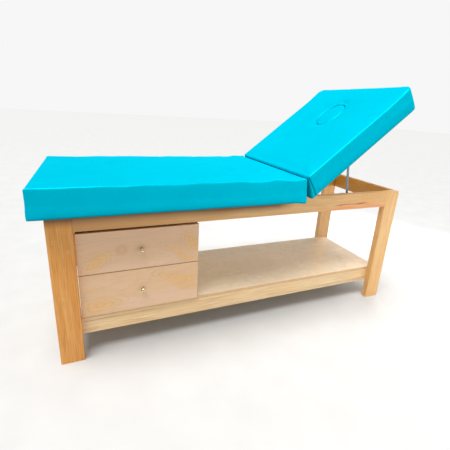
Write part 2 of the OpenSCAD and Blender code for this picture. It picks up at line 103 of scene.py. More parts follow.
def make_light():
    """A wide soft light from above, weaker ones from the head end and the front, and a glow that
    only shows in reflections. The backdrop is as pale as the floor, but lights the couch less."""
    bpy.context.scene.view_settings.view_transform = "Standard"
    world = bpy.data.worlds.new("studio")
    world.use_nodes = True
    tree = world.node_tree
    shown = tree.nodes.new("ShaderNodeBackground")
    shown.inputs["Color"].default_value = (1, 1, 1, 1)
    shown.inputs["Strength"].default_value = 0.93
    lit = tree.nodes["Background"]
    lit.inputs["Color"].default_value = (1, 1, 1, 1)
    lit.inputs["Strength"].default_value = 0.34
    path = tree.nodes.new("ShaderNodeLightPath")
    pick = tree.nodes.new("ShaderNodeMixShader")
    tree.links.new(path.outputs["Is Camera Ray"], pick.inputs[0])
    tree.links.new(lit.outputs[0], pick.inputs[1])
    tree.links.new(shown.outputs[0], pick.inputs[2])
    tree.links.new(pick.outputs[0], tree.nodes["World Output"].inputs["Surface"])
    bpy.context.scene.world = world
    add_light("overhead", "SUN", (-0.75, -0.38, 2.6), (0, 0, 0), 4.35, (1, 0.985, 0.96),
              angle=math.radians(42))
    soft = {"shape": "DISK", "unseen": "glossy"}
    warm = (1, 0.98, 0.95)
    add_light("head_side", "AREA", (2.5, -2.0, 1.3), (0.6, 0, 0.45), 15, (1, 0.97, 0.92), size=1.6, **soft)
    add_light("fill", "AREA", (1.6, -2.6, 0.35), (0, -0.3, 0.3), 9, warm, size=2.0, **soft)
    add_light("head_low", "AREA", (2.0, 0.7, 0.85), (0.3, 0, 0.18), 15, warm, size=1.0, **soft)
    add_light("edge_glow", "AREA", (1.2, -1.0, 2.6), (0, -0.34, 0.6), 14, shape="DISK", size=1.3,
              unseen="diffuse")


def make_floor():
    """A pale, faintly uneven paper floor."""
    bpy.ops.mesh.primitive_plane_add(size=60, location=(0, 0, 0))
    floor = bpy.context.object
    floor.name = "floor"
    m = Shader("floor_paper")
    grain = m.noise(m.coords(), 6, 3)
    m.paint(Roughness=0.85, Color=m.ramp(grain, [(0.3, (0.54, 0.545, 0.55)), (0.7, (0.57, 0.575, 0.58))]))
    floor.data.materials.append(m.material)


# ---------------------------------------------------------------- shader helper

class Shader:
    """A material's node tree, built with short calls. Every value may be a number or a socket."""

    def __init__(self, name):
        self.material = bpy.data.materials.new(name)
        self.material.use_nodes = True
        tree = self.material.node_tree
        self.nodes, self.links = tree.nodes, tree.links
        self.bsdf = self.nodes["Principled BSDF"]

    def add(self, kind, inputs=(), **settings):
        node = self.nodes.new("ShaderNode" + kind)
        for key, value in settings.items():
            setattr(node, key, value)
        for key, value in dict(inputs).items():
            self.feed(node.inputs[key], value)
        return node

    def feed(self, socket, value):
        if isinstance(value, bpy.types.NodeSocket):
            self.links.new(value, socket)
        elif isinstance(value, (tuple, list)) and len(value) == 3 and socket.type == "RGBA":
            socket.default_value = (*value, 1.0)
        else:
            socket.default_value = value

    def coords(self):
        return self.add("TexCoord").outputs["Object"]

    def mapping(self, vector, scale=(1, 1, 1), turn=(0, 0, 0), shift=(0, 0, 0)):
        node = self.add("Mapping", {"Vector": vector, "Scale": scale, "Rotation": turn, "Location": shift})
        return node.outputs[0]

    def noise(self, vector, scale, detail=2.0, rough=0.5, warp=0.0):
        node = self.add("TexNoise", {"Vector": vector, "Scale": scale, "Detail": detail,
                                     "Roughness": rough, "Distortion": warp})
        return node.outputs["Fac"]

    def math(self, operation, a, b=0.0):
        node = self.add("Math", operation=operation)
        self.feed(node.inputs[0], a)
        self.feed(node.inputs[1], b)
        return node.outputs[0]

    def vector(self, operation, a, b=(0, 0, 0)):
        node = self.add("VectorMath", operation=operation)
        self.feed(node.inputs[0], a)
        self.feed(node.inputs[1], b)
        return node.outputs["Value" if operation in ("LENGTH", "DISTANCE") else "Vector"]

    def scaled(self, vector, factor):
        node = self.add("VectorMath", {"Scale": factor}, operation="SCALE")
        self.feed(node.inputs[0], vector)
        return node.outputs["Vector"]

    def split(self, vector):
        return self.add("SeparateXYZ", {"Vector": vector}).outputs

    def remap(self, value, low, high, to_low=0.0, to_high=1.0):
        return self.add("MapRange", {"Value": value, "From Min": low, "From Max": high,
                                     "To Min": to_low, "To Max": to_high}).outputs[0]

    def ramp(self, value, stops, smooth=False):
        node = self.add("ValToRGB", {"Fac": value})
        node.color_ramp.interpolation = "EASE" if smooth else "LINEAR"
        elements = node.color_ramp.elements
        while len(elements) < len(stops):
            elements.new(0.5)
        for element, (place, color) in zip(elements, stops):
            element.position = place
            element.color = (*color, 1.0)
        return node.outputs["Color"]

    def mix(self, amount, a, b):
        node = self.add("Mix", data_type="RGBA")
        self.feed(node.inputs[0], amount)
        self.feed(node.inputs[6], a)
        self.feed(node.inputs[7], b)
        return node.outputs[2]

    def bump(self, height, strength, distance):
        return self.add("Bump", {"Height": height, "Strength": strength, "Distance": distance}).outputs[0]

    def paint(self, **inputs):
        for key, value in inputs.items():
            name = "Base Color" if key == "Color" else key.replace("_", " ")
            self.feed(self.bsdf.inputs[name], value)
        return self.material


# ---------------------------------------------------------------- wood

TO_X = {"x": (0, 0, 0), "y": (0, 0, -math.pi / 2), "z": (0, math.pi / 2, 0)}
GREY = [(0.0, (0.1,) * 3), (0.55, (0.35,) * 3), (0.86, (1.0,) * 3), (1.0, (0.1,) * 3)]
# The painted shadow under the pad's hem: how far below its height it fades out, and its tone
HEM_SHADOW_DEPTH, HEM_SHADOW_TONE = 34 * MM, (0.13, 0.058, 0.018)


def band(m, value, low, high, soft):
    """1 where value lies between low and high, fading out over soft on both sides."""
    rising = m.remap(value, low - soft, low)
    falling = m.remap(value, high + soft, high)
    return m.math("MULTIPLY", rising, falling)


def wood(name, tones, grain, seed, ring=6.0, contrast=0.55, heart=(0.05, 0.09), lean=(0.012, 0.02),
         wander=0.02, pores=0.36, streaks=(), scuffs=(), rough=0.42, dim=(), hem=()):
    """Solid wood cut from a log: growth rings round a heart line that leans a little against the
    board, so that its faces show straight grain or arches, with fibres, blotches and pores.
    streaks are (tone, height, half width, start, end) along X; scuffs are places; dim is
    (full, gone, share), where along X the board gets painted shade; hem is (height, end), above
    which and up to where along X the board gets painted shadow under the pad's hem."""
    m = Shader(name)
    rnd = random.Random(seed)
    shift = [rnd.uniform(-3, 3) for _ in range(3)]
    p = m.mapping(m.coords(), turn=TO_X[grain])
    drift = m.mapping(p, (1.1, 3.5, 3.5), shift=shift)
    warp = m.add("TexNoise", {"Vector": drift, "Scale": 1.0, "Detail": 2.5}).outputs["Color"]
    offset = m.scaled(m.vector("SUBTRACT", warp, (0.5, 0.5, 0.5)), wander * 2)
    x, y, z = m.split(m.vector("ADD", p, offset))
    across = m.math("ADD", m.math("MULTIPLY", x, lean[0]), m.math("ADD", y, heart[0]))
    down = m.math("ADD", m.math("MULTIPLY", x, lean[1]), m.math("ADD", z, heart[1]))
    radius = m.math("SQRT", m.math("ADD", m.math("POWER", across, 2.0), m.math("POWER", down, 2.0)))
    uneven = m.noise(m.mapping(p, (0.6, 9, 9), shift=shift), 1.0, 3)
    phase = m.math("ADD", m.math("DIVIDE", radius, ring * MM), m.math("MULTIPLY", uneven, 3.0))
    rings = m.ramp(m.math("FRACT", phase), GREY)
    fibre = m.noise(m.mapping(p, (7, 330, 330), shift=shift), 1.0, 3, 0.6)
    pore = m.noise(m.mapping(p, (11, 400, 400), shift=[v + 4 for v in shift]), 1.0, 2, 0.5)
    fleck = m.noise(m.mapping(p, (2.5, 70, 70), shift=shift), 1.0, 2)
    blotch = m.noise(m.mapping(p, (2.0, 7, 7), shift=shift), 1.0, 3)
    color = m.mix(m.remap(blotch, 0.32, 0.68), tones[0], tones[1])
    ringed = m.math("MULTIPLY", rings, m.remap(m.noise(drift, 2.0, 2), 0.3, 0.7, 0.35, 1.0))
    color = m.mix(m.math("MULTIPLY", ringed, contrast), color, tones[2])
    color = m.mix(m.remap(fleck, 0.48, 0.72, 0.0, 0.45), color, tones[3])
    color = m.mix(m.remap(fibre, 0.42, 0.66, 0.0, 0.22), color, tones[2])
    dark = tuple(c * share for c, share in zip(tones[2], (0.72, 0.58, 0.5)))
    color = m.mix(m.remap(pore, 0.52, 0.64, 0.0, pores), color, dark)
    sx, _, sz = m.split(m.coords())
    # Painted shade from the pad: the board is darker towards one end along X
    if dim:
        color = m.mix(m.remap(sx, dim[0], dim[1], dim[2], 0.0), color, tones[2])
    # Painted shadow under the pad's hem, darkest at the top and ragged at its lower edge
    if hem:
        ragged = m.math("ADD", sz, m.remap(blotch, 0.3, 0.7, -4 * MM, 4 * MM))
        hem_shadow = m.remap(ragged, hem[0] - HEM_SHADOW_DEPTH, hem[0])
        hem_shadow = m.math("MULTIPLY", m.math("POWER", hem_shadow, 1.4), m.remap(sx, hem[1], hem[1] - 0.09))
        color = m.mix(m.math("MULTIPLY", hem_shadow, 0.9), color, HEM_SHADOW_TONE)
    for tone, height, half, start, end in streaks:
        waver = m.noise(m.mapping(p, (9, 9, 9), shift=shift), 1.0, 2)
        wavy = m.math("ADD", sz, m.remap(waver, 0.3, 0.7, -half, half))
        fray = m.remap(m.noise(m.mapping(p, (7, 150, 150), shift=shift), 1.0, 2), 0.36, 0.60, 0.15, 1.0)
        on = m.math("MULTIPLY", band(m, wavy, height - half * 0.4, height + half * 0.4, half),
                    band(m, sx, start, end, (end - start) * 0.35))
        color = m.mix(m.math("MULTIPLY", on, fray), color, tone)
    for place in scuffs:
        away = m.vector("DISTANCE", m.coords(), place)
        scratch = m.noise(m.mapping(m.coords(), (70, 70, 520), turn=(0, 0.5 + place[2], 0)), 1.0, 2)
        on = m.math("MULTIPLY", m.remap(away, 0.016, 0.005), m.remap(scratch, 0.56, 0.66))
        color = m.mix(m.math("MULTIPLY", on, 0.6), color, (0.93, 0.78, 0.55))
    height = m.math("ADD", m.math("MULTIPLY", fibre, 0.6), m.math("MULTIPLY", rings, 0.25))
    height = m.math("SUBTRACT", height, m.remap(pore, 0.56, 0.68, 0.0, 0.5))
    gloss = m.remap(m.noise(m.mapping(m.coords(), (30, 30, 30), shift=shift), 1.0, 4, 0.7), 0.4, 0.75,
                    rough - 0.06, rough + 0.12)
    return m.paint(Color=color, Roughness=gloss, Normal=m.bump(height, 0.35, 0.0004),
                   Specular_IOR_Level=0.38, Coat_Weight=0.12, Coat_Roughness=0.25)


def plywood(name, tones, grain, seed, swirl=1.0, contrast=0.2, knots=(), patches=(), rough=0.4, coat=0.2,
            rim=()):
    """Rotary-cut face veneer: faint wandering contours, honey patches and small knots. knots are
    (place, size); patches are (place, long, short, turn about Y, strength); rim is (y, tone), a
    darker front edge."""
    m = Shader(name)
    rnd = random.Random(seed)
    shift = [rnd.uniform(-3, 3) for _ in range(3)]
    p = m.mapping(m.coords(), turn=TO_X[grain])
    slow = m.noise(m.mapping(p, (1.5 * swirl, 5.0 * swirl, 5.0 * swirl), shift=shift), 1.0, 1.0, 0.4)
    warp = m.add("TexNoise", {"Vector": m.coords(), "Scale": 14.0, "Detail": 3.0}).outputs["Color"]
    bent = m.vector("ADD", m.coords(), m.scaled(m.vector("SUBTRACT", warp, (0.5, 0.5, 0.5)), 0.07))
    phase = m.math("MULTIPLY", slow, 15.0)
    rings = m.ramp(m.math("FRACT", phase), [(0.0, (0.15,) * 3), (0.5, (0.4,) * 3),
                                           (0.85, (1.0,) * 3), (1.0, (0.15,) * 3)], smooth=True)
    fibre = m.noise(m.mapping(p, (9, 260, 260), shift=shift), 1.0, 3, 0.6)
    dash = m.noise(m.mapping(p, (18, 420, 420), shift=shift), 1.0, 2, 0.5)
    patch = m.noise(m.mapping(p, (1.2, 8, 8), shift=shift), 1.0, 2, 0.5, 0.4)
    color = m.mix(m.remap(patch, 0.36, 0.64), tones[0], tones[1])
    stray = m.remap(m.noise(m.mapping(p, (1.0, 11, 11), shift=[v + 5 for v in shift]), 1.0, 2, 0.5, 0.6),
                    0.52, 0.74)
    color = m.mix(m.math("MULTIPLY", stray, 0.45), color, tones[3])
    color = m.mix(m.math("MULTIPLY", rings, contrast), color, tones[2])
    for place, long, short, turn, strength in patches:
        local = m.mapping(m.vector("SUBTRACT", bent, place), (1, 1, 1), (0, turn, 0))
        reach = m.vector("LENGTH", m.mapping(local, (1 / long, 0, 1 / short)))
        lines = m.ramp(m.math("FRACT", m.math("MULTIPLY", reach, 2.6)), GREY)
        inside = m.remap(reach, 1.5, 0.5)
        color = m.mix(m.math("MULTIPLY", inside, 0.75 * strength), color, tones[3])
        outline = m.math("MULTIPLY", m.remap(reach, 2.0, 1.3),
                         m.remap(lines, 0.45, 1.0, 0.0, 0.30 * strength))
        color = m.mix(outline, color, tones[4])
    for place, size in knots:
        away = m.vector("DISTANCE", m.coords(), place)
        halo = m.math("MULTIPLY", m.remap(away, size, size * 0.45), 0.32)
        color = m.mix(halo, color, tones[4])
        color = m.mix(m.remap(away, size * 0.42, size * 0.22, 0.0, 0.7), color, tones[3])
        color = m.mix(m.remap(away, size * 0.10, size * 0.03, 0.0, 0.6), color, tones[4])
    color = m.mix(m.remap(fibre, 0.4, 0.72, 0.0, 0.16), color, tones[2])
    color = m.mix(m.remap(dash, 0.58, 0.70, 0.0, 0.22), color, tones[4])
    if rim:
        color = m.mix(m.remap(m.split(m.coords())[1], rim[0] + 6 * MM, rim[0] + 3 * MM), color, rim[1])
    height = m.math("ADD", m.math("MULTIPLY", fibre, 0.6), m.math("MULTIPLY", dash, 0.4))
    sheen = m.remap(m.noise(m.mapping(m.coords(), (14, 14, 14), shift=shift), 1.0, 3), 0.35, 0.7,
                    rough - 0.05, rough + 0.09)
    return m.paint(Color=color, Roughness=sheen, Normal=m.bump(height, 0.12, 0.0002),
                   Specular_IOR_Level=0.4, Coat_Weight=coat, Coat_Roughness=0.16)


# Linear colours of each wood: two main tones, the rings, the flecks and, for veneers, the knots
HONEY = [(0.79, 0.375, 0.085), (0.72, 0.305, 0.055), (0.52, 0.19, 0.032), (0.86, 0.49, 0.16)]
YELLOW = [(0.85, 0.55, 0.245), (0.81, 0.455, 0.155), (0.62, 0.325, 0.11), (0.90, 0.64, 0.33)]
TAN = [(0.78, 0.49, 0.215), (0.72, 0.41, 0.155), (0.56, 0.275, 0.09), (0.84, 0.57, 0.29)]
RAIL = [(0.93, 0.70, 0.41), (0.90, 0.64, 0.34), (0.66, 0.42, 0.20), (0.96, 0.79, 0.55)]
AMBER = [(0.66, 0.34, 0.055), (0.56, 0.27, 0.038), (0.38, 0.17, 0.022), (0.74, 0.42, 0.09)]
VENEER = [(0.79, 0.54, 0.355), (0.73, 0.48, 0.30), (0.58, 0.34, 0.20), (0.80, 0.475, 0.18),
          (0.44, 0.265, 0.16)]
PALE = [(0.82, 0.70, 0.51), (0.77, 0.63, 0.43), (0.64, 0.47, 0.28), (0.80, 0.58, 0.31), (0.54, 0.38, 0.24)]
SHELF = [(0.95, 0.83, 0.65), (0.91, 0.77, 0.57), (0.84, 0.66, 0.46), (0.93, 0.80, 0.60), (0.66, 0.50, 0.34)]


def steel(name, color, rough, scale=900):
    """Brushed and a little smudged; scale is how fine the brushing is."""
    m = Shader(name)
    p = m.coords()
    brushed = m.noise(m.mapping(p, (scale, scale, 60)), 1.0, 3)
    smudge = m.noise(p, 25, 4, 0.6)
    m.paint(Metallic=1.0, Color=m.mix(m.remap(smudge, 0.35, 0.7), color, tuple(c * 0.72 for c in color)),
            Roughness=m.remap(brushed, 0.3, 0.7, rough - 0.08, rough + 0.1))
    m.paint(Normal=m.bump(brushed, 0.12, 0.0001))
    return m.material


def brass():
    """Aged brass: a dull patina with bright rubbed spots."""
    m = Shader("antique_brass")
    p = m.coords()
    patina = m.noise(p, 210, 4, 0.65)
    color = m.ramp(patina, [(0.3, (0.40, 0.33, 0.16)), (0.5, (0.78, 0.70, 0.44)), (0.72, (0.92, 0.87, 0.68))])
    return m.paint(Metallic=1.0, Color=color, Roughness=m.remap(patina, 0.3, 0.7, 0.34, 0.18),
                   Normal=m.bump(m.noise(p, 900, 2), 0.08, 0.0001))


def vinyl(name, light, deep):
    """Upholstery vinyl with a fine pressed grain, cloudy tone and a soft sheen, with painted shade
    that deepens towards the foot end, on the sides and under the hems."""
    m = Shader(name)
    p = m.coords()
    cells = m.add("TexVoronoi", {"Vector": p, "Scale": 520.0}, feature="DISTANCE_TO_EDGE").outputs["Distance"]
    crease = m.math("MINIMUM", m.math("MULTIPLY", cells, 6.0), 1.0)
    pores = m.noise(p, 1500, 2)
    cloudy = m.noise(p, 2.6, 3)
    drift = m.noise(p, 13, 3)
    color = m.mix(m.remap(cloudy, 0.3, 0.7), light, tuple(c * 0.93 for c in light))
    color = m.mix(m.remap(drift, 0.5, 0.8, 0.0, 0.3), color, deep)
    color = m.mix(m.math("MULTIPLY", m.math("SUBTRACT", 1.0, crease), 0.3), color, deep)
    # Painted shade: deeper towards the foot end
    color = m.mix(m.remap(m.split(p)[0], -0.87, -0.25, 0.45, 0.0), color, deep)
    facing = m.add("NewGeometry").outputs["Normal"]
    up = m.split(facing)[2]
    # Painted shade on the sides, where the surface turns away from up
    color = m.mix(m.remap(up, 0.35, 0.05, 0.0, 0.35), color, deep)
    # Deep painted shade on faces turned down, under the hems
    color = m.mix(m.remap(up, -0.03, -0.4, 0.0, 0.85), color, tuple(c * 0.35 for c in deep))
    height = m.math("ADD", m.math("MULTIPLY", crease, 0.7), m.math("MULTIPLY", pores, 0.3))
    m.paint(Color=color, Roughness=m.remap(drift, 0.3, 0.7, 0.27, 0.36), Normal=m.bump(height, 0.08, 0.0002))
    return m.paint(Metallic=0.17, Specular_IOR_Level=0.0, Specular_Tint=(0.1, 0.95, 1.0, 1.0))


# ---------------------------------------------------------------- mesh helpers

GRID = 13 * MM
EDGE_LINES = (0.0, 3.0, 7.0, 12.0, 18.0, 26.0, 36.0)


def edge_lines(low, high):
    """Grid lines from low to high, closer together near both ends."""
    close = [n * MM for n in EDGE_LINES]
    inner = np.linspace(low + close[-1], high - close[-1], max(2, round((high - low) / GRID)))
    return np.concatenate([[low + n for n in close[:-1]], inner, [high - n for n in reversed(close[:-1])]])


def box_grid(xs, ys, zs):
    """Points and quads of a closed box's surface with grid lines at xs, ys and zs."""
    index, points, quads = {}, [], []
    last = (len(xs) - 1, len(ys) - 1, len(zs) - 1)

    def at(i, j, k):
        key = (i, j, k)
        if key not in index:
            index[key] = len(points)
            points.append((xs[i], ys[j], zs[k]))
        return index[key]

    for axis in range(3):
        u, v = [(1, 2), (2, 0), (0, 1)][axis]
        for end in (0, last[axis]):
            for a in range(last[u]):
                for b in range(last[v]):
                    ring = []
                    for da, db in ((0, 0), (1, 0), (1, 1), (0, 1)):
                        key = [0, 0, 0]
                        key[axis], key[u], key[v] = end, a + da, b + db
                        ring.append(at(*key))
                    quads.append(ring if end else ring[::-1])
    return np.array(points), quads, index


def make_object(name, points, faces, material):
    """A smooth-shaded mesh object with one material."""
    mesh = bpy.data.meshes.new(name)
    mesh.from_pydata([tuple(p) for p in points], [], faces)
    mesh.materials.append(material)
    mesh.polygons.foreach_set("use_smooth", [True] * len(mesh.polygons))
    mesh.update()
    piece = bpy.data.objects.new(name, mesh)
    bpy.context.collection.objects.link(piece)
    return piece


def rounded(points, low, high, radii_low, radii_high):
    """Rounds a box's edges and corners: each point is moved onto an ellipsoid round the inner box."""
    low, high = np.array(low), np.array(high)
    radii_low, radii_high = np.array(radii_low), np.array(radii_high)
    core = np.clip(points, low + radii_low, high - radii_high)
    away = points - core
    radii = np.where(away < 0, radii_low, radii_high)
    e = away / radii
    length = np.linalg.norm(e, axis=1, keepdims=True)
    return np.where(length > 1e-9, core + e / np.maximum(length, 1e-9) * radii, points)


def smooth_step(t):
    """0 to 1, level at both ends."""
    t = np.clip(t, 0, 1)
    return t * t * (3 - 2 * t)


CLOTH_STEPS = 20
CLOTH_PRESSURE = 3.0
CLOTH_CAP = 6 * MM


def inflate(points, faces, free, slack):
    """Cloth simulation of a cover over its foam. free is 0 where the cover is held and 1 where it
    can move; slack is its spare length, as a share. Returns how far each point moves, never more
    than CLOTH_CAP."""
    stuffed = make_object("cloth_run", points, faces, bpy.data.materials.new("cloth_run"))
    held = stuffed.vertex_groups.new(name="held")
    for i, share in enumerate(free):
        held.add([i], float(1 - share), "REPLACE")
    cloth = stuffed.modifiers.new("cloth", "CLOTH")
    s = cloth.settings
    s.quality = 6
    s.mass = 0.35
    s.tension_stiffness = 28
    s.compression_stiffness = 22
    s.shear_stiffness = 12
    s.bending_stiffness = 1.2
    s.air_damping = 2.5
    s.use_pressure = True
    s.uniform_pressure_force = CLOTH_PRESSURE
    s.vertex_group_mass = "held"
    s.pin_stiffness = 1.0
    s.shrink_min = -slack
    s.effector_weights.gravity = 0
    cloth.collision_settings.use_collision = False
    cloth.point_cache.frame_start = 1
    cloth.point_cache.frame_end = CLOTH_STEPS
    scene = bpy.context.scene
    for step in range(1, CLOTH_STEPS + 1):
        scene.frame_set(step)
    graph = bpy.context.evaluated_depsgraph_get()
    mesh = stuffed.evaluated_get(graph).data
    moved = np.zeros(len(points) * 3)
    mesh.vertices.foreach_get("co", moved)
    move = moved.reshape(-1, 3) - points
    scene.frame_set(1)
    bpy.data.objects.remove(stuffed)
    length = np.linalg.norm(move, axis=1, keepdims=True)
    return move * (CLOTH_CAP * np.tanh(length / CLOTH_CAP) / np.maximum(length, 1e-9))


def ripple(points, scale, seed):
    """Smooth noise from -1 to 1 at each point."""
    offset = Vector((seed * 7.3, seed * 3.1, seed * 5.7))
    return np.array([noise.noise(Vector(p) * scale + offset) for p in points])


def subdivide(piece):
    """Subdivides a piece once, and applies it."""
    modifier = piece.modifiers.new("smooth", "SUBSURF")
    modifier.levels = 1
    modifier.render_levels = 1
    bpy.context.view_layer.objects.active = piece
    with bpy.context.temp_override(object=piece, active_object=piece, selected_objects=[piece]):
        bpy.ops.object.modifier_apply(modifier=modifier.name)


# ---------------------------------------------------------------- the pads

hinge = next(j for j in frame["joints"] if j["name"] == "backrest_hinge")
HINGE = Vector(hinge["pos_m"])
TILT = math.radians(-hinge["range_deg"][0])
# From the flat backrest's own frame, with its origin at the hinge, to where it stands raised
BACK_TO_ROW = Matrix.Translation(HINGE) @ Matrix.Rotation(-TILT, 4, "Y")
BOARD_T = 18 * MM
HEM = 30 * MM
SIDE_SWELL = 3.5 * MM


def ease(value, start, end):
    """0 up to start and 1 from end on, smoothly between them."""
    return smooth_step((value - start) / (end - start))


def near(value, place, width):
    """1 at place, falling away over width on both sides."""
    return np.exp(-((value - place) / width) ** 2)


def pad_grid(low, high):
    """Grid lines of a boxed cushion along X, Y and Z."""
    zs = np.concatenate([[low[2], low[2] + 3 * MM], np.linspace(low[2] + 9 * MM, high[2] - 10 * MM, 9),
                         [high[2] - 6 * MM, high[2] - 2.5 * MM, high[2]]])
    return edge_lines(low[0], high[0]), edge_lines(low[1], high[1]), zs


def stuffed_sides(flat, low, high):
    """How far the sides and top of a boxed cushion stand proud of its seams: a bulge in mid-side
    and a low crown, both gone at the corners."""
    height = (flat[:, 2] - low[2]) / (high[2] - low[2])
    belly = np.sin(np.pi * np.clip(height, 0, 1)) ** 0.8
    move = np.zeros_like(flat)
    for axis in (0, 1):
        other = 1 - axis
        room = np.minimum(flat[:, other] - low[other], high[other] - flat[:, other])
        swell = SIDE_SWELL * belly * ease(room, -5 * MM, 60 * MM)
        end = near(flat[:, axis], high[axis], 14 * MM) - near(flat[:, axis], low[axis], 14 * MM)
        move[:, axis] += swell * end
    inset = np.minimum.reduce([flat[:, 0] - low[0], high[0] - flat[:, 0],
                               flat[:, 1] - low[1], high[1] - flat[:, 1]])
    move[:, 2] += 2.5 * MM * ease(inset, 0, 120 * MM) * (height > 0.99)
    return move, inset


def foot_pad(material):
    """The foot pad's cover and foam as one cushion, held flat by its board."""
    low, high = (np.array(c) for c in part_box("foot_pad_cover"))
    flat, faces, _ = box_grid(*pad_grid(low, high))
    bottom = flat[:, 2] < low[2] + 1e-6
    belly, inset = stuffed_sides(flat, low, high)
    points = rounded(flat, low, high, (4.5 * MM, 4.5 * MM, 3 * MM), (4.5 * MM, 4.5 * MM, 8 * MM)) + belly
    # The hem is turned under the board's edge; further in the cover ends above the board's face
    points[bottom & (inset > HEM), 2] += 4 * MM
    upper = ease(flat[:, 2], low[2] + BOARD_T, low[2] + BOARD_T + 20 * MM)
    points += 0.6 * inflate(points, faces, upper, 0.006)
    # Slack vinyl: waves along the upper edges, more of them towards the backrest
    edge = near(flat[:, 2], high[2], 30 * MM)
    side = near(np.minimum(flat[:, 1] - low[1], high[1] - flat[:, 1]), 0, 24 * MM)
    along = 0.4 + 0.6 * ease(flat[:, 0], -0.3, 0.1)
    wave = ripple(flat * np.array([1, 0.4, 0.4]), 12, 1) + 0.5 * ripple(flat * np.array([1, 0.5, 0.5]), 23, 2)
    points[:, 2] += 7 * MM * wave * side * edge * along
    points[:, 1] += 4 * MM * ripple(flat, 15, 3) * side * edge * along
    # Pulls on the sides, down to the staples
    drawn = np.clip(flat[:, 2] - low[2], 0, 0.1)
    pull = ripple(flat * np.array([1, 1, 0.25]), 13, 6) * np.sin(np.pi * drawn / 0.1)
    points[:, 1] += 1.3 * MM * pull * side * np.sign(flat[:, 1])
    # The cover stands a little proud at the foot end, and leans under the backrest at the other
    share = (flat[:, 2] - low[2]) / (high[2] - low[2])
    points[:, 0] -= 3 * MM * near(flat[:, 0], low[0], 40 * MM)
    points[:, 0] += 8 * MM * (1 - share) * near(flat[:, 0], high[0], 40 * MM) * (inset < HEM)
    # The hem sags a little below the board wherever nothing carries it, most at the hinge corners
    free = np.maximum(ease(np.abs(flat[:, 1]), 0.270, 0.290), ease(-flat[:, 0], 0.836, 0.850))
    rim = near(flat[:, 2], low[2], 9 * MM) * free * (1 - ease(inset, 12 * MM, HEM))
    corner = near(flat[:, 0], high[0] - 12 * MM, 20 * MM) * near(np.abs(flat[:, 1]), high[1], 26 * MM)
    points[:, 2] -= rim * (5.5 * MM + 1.3 * MM * ripple(flat, 12, 4) + 4 * MM * corner)
    points[bottom & (inset <= HEM), 2] -= 0.5 * MM
    pad = make_object("foot_pad", points, faces, material)
    subdivide(pad)
    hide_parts("foot_pad_cover", "foot_pad_foam")
    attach(pad, "frame")


def oval_point(angle, a, b):
    """The point at an angle on an oval with half axes a and b."""
    return Vector((a * math.cos(angle), b * math.sin(angle)))


# The backrest in its own frame: the face hole's middle and half axes, then the pad's half width,
# start, end, thickness and head corners
HOLE_X = 0.485
HOLE_A = 88 * MM
HOLE_B = 66 * MM
PAD_HALF = 0.339
PAD_START = 15 * MM
PAD_END = 0.705
PAD_T = 0.100
CORNER_R = 38 * MM


def back_end(points):
    """Where the backrest's hinge end is at each point. Its cover is folded and sewn down the
    corners, and bulges between them: most at the foot, not at all where the foot pad presses it."""
    share = np.clip(points[:, 2] / PAD_T, 0, 1)
    seam = (40 + 11 * share) * MM
    bulge = 26 * MM * (1 - share ** 1.6)
    inward = 1 - np.exp(-np.maximum(PAD_HALF - np.abs(points[:, 1]), 0) / (9 * MM))
    return seam - bulge * inward


def round_head_corners(points):
    """Rounds the two head corners in plan, mapping each square corner onto a quarter disc."""
    u = (points[:, 0] - (PAD_END - CORNER_R)) / CORNER_R
    v = (np.abs(points[:, 1]) - (PAD_HALF - CORNER_R)) / CORNER_R
    both = (u > 0) & (v > 0)
    shrink = np.where(both, np.maximum(u, v) / np.maximum(np.hypot(u, v), 1e-9), 1.0)
    points[:, 0] = np.where(both, PAD_END - CORNER_R + u * shrink * CORNER_R, points[:, 0])
    rounded_y = np.sign(points[:, 1]) * (PAD_HALF - CORNER_R + v * shrink * CORNER_R)
    points[:, 1] = np.where(both, rounded_y, points[:, 1])


